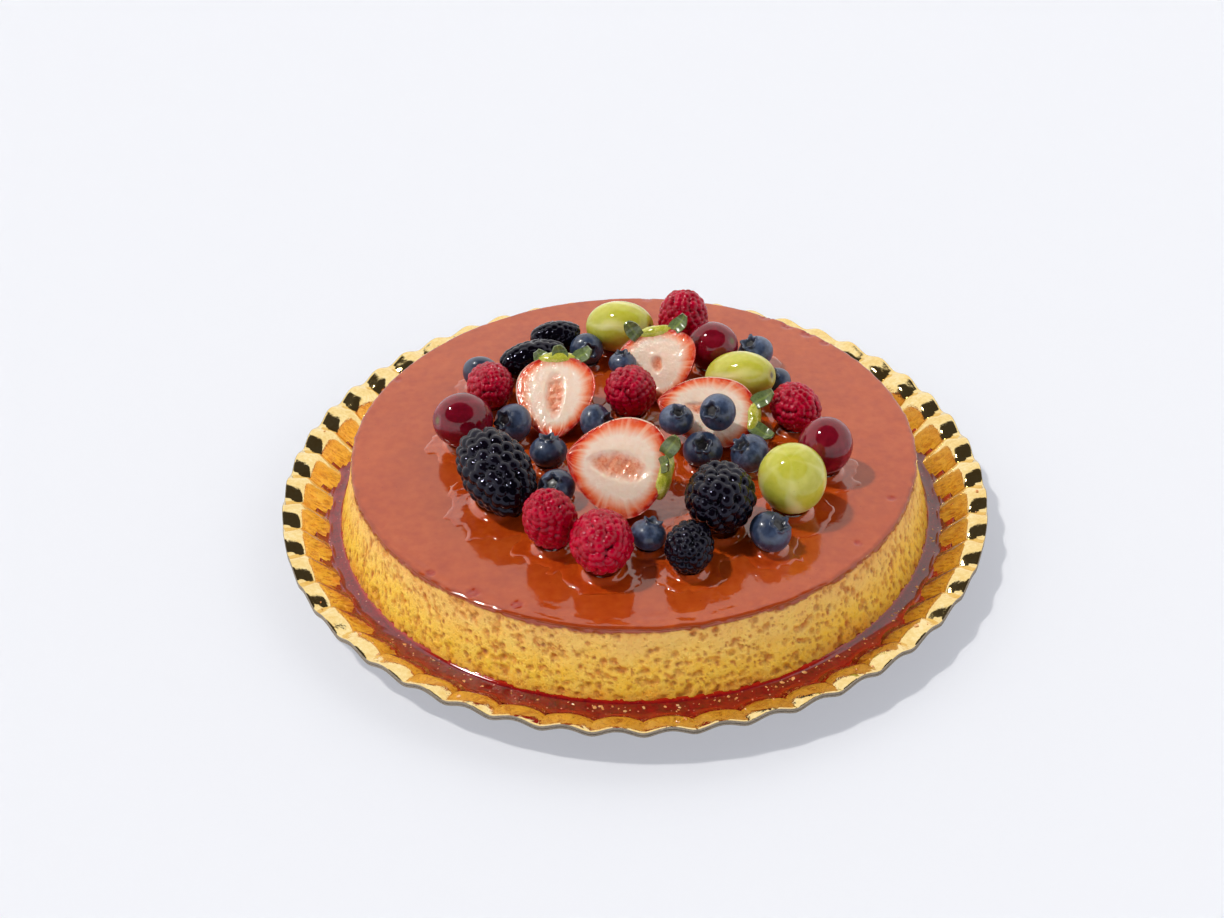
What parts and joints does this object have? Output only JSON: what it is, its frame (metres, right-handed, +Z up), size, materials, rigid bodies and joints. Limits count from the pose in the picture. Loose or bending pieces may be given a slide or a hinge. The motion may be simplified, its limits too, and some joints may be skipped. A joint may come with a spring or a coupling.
{
  "type": "leche flan",
  "caption": "Round caramel custard on a scalloped gold board, with a caramel pool round its foot and glazed fruit piled on top.",
  "frame": {"origin": "centre of the board's underside", "axes": "+Z up, -Y towards the side shown in front"},
  "size_m": [0.254, 0.254, 0.0557],
  "materials": {
    "gold_foil": "mirror-bright gold foil on card, slightly crinkled",
    "custard": "set custard, pitted side with an even glossy caramel top",
    "caramel": "clear dark red-brown caramel syrup",
    "strawberry": "cut strawberry under clear glaze",
    "raspberry": "wet crimson drupelets under clear glaze",
    "bramble": "glossy near-black drupelets",
    "blueberry": "dusty blue skin under clear glaze",
    "red_grape": "translucent dark red skin under clear glaze",
    "green_grape": "translucent yellow-green skin under clear glaze"
  },
  "bodies": {
    "root": {"blueberry_1": "blueberry", "blueberry_10": "blueberry", "blueberry_11": "blueberry", "blueberry_12": "blueberry", "blueberry_13": "blueberry", "blueberry_14": "blueberry", "blueberry_15": "blueberry", "blueberry_2": "blueberry", "blueberry_3": "blueberry", "blueberry_4": "blueberry", "blueberry_5": "blueberry", "blueberry_6": "blueberry", "blueberry_7": "blueberry", "blueberry_8": "blueberry", "blueberry_9": "blueberry", "board": "gold_foil", "bramble_1": "bramble", "bramble_2": "bramble", "bramble_3": "bramble", "bramble_4": "bramble", "bramble_5": "bramble", "caramel_pool": "caramel", "custard": "custard", "green_grape_1": "green_grape", "green_grape_2": "green_grape", "green_grape_3": "green_grape", "raspberry_1": "raspberry", "raspberry_2": "raspberry", "raspberry_3": "raspberry", "raspberry_4": "raspberry", "raspberry_5": "raspberry", "raspberry_6": "raspberry", "red_grape_1": "red_grape", "red_grape_2": "red_grape", "red_grape_3": "red_grape", "strawberry_half_1": "strawberry", "strawberry_half_2": "strawberry", "strawberry_half_3": "strawberry", "strawberry_half_4": "strawberry"}
  },
  "joints": []
}
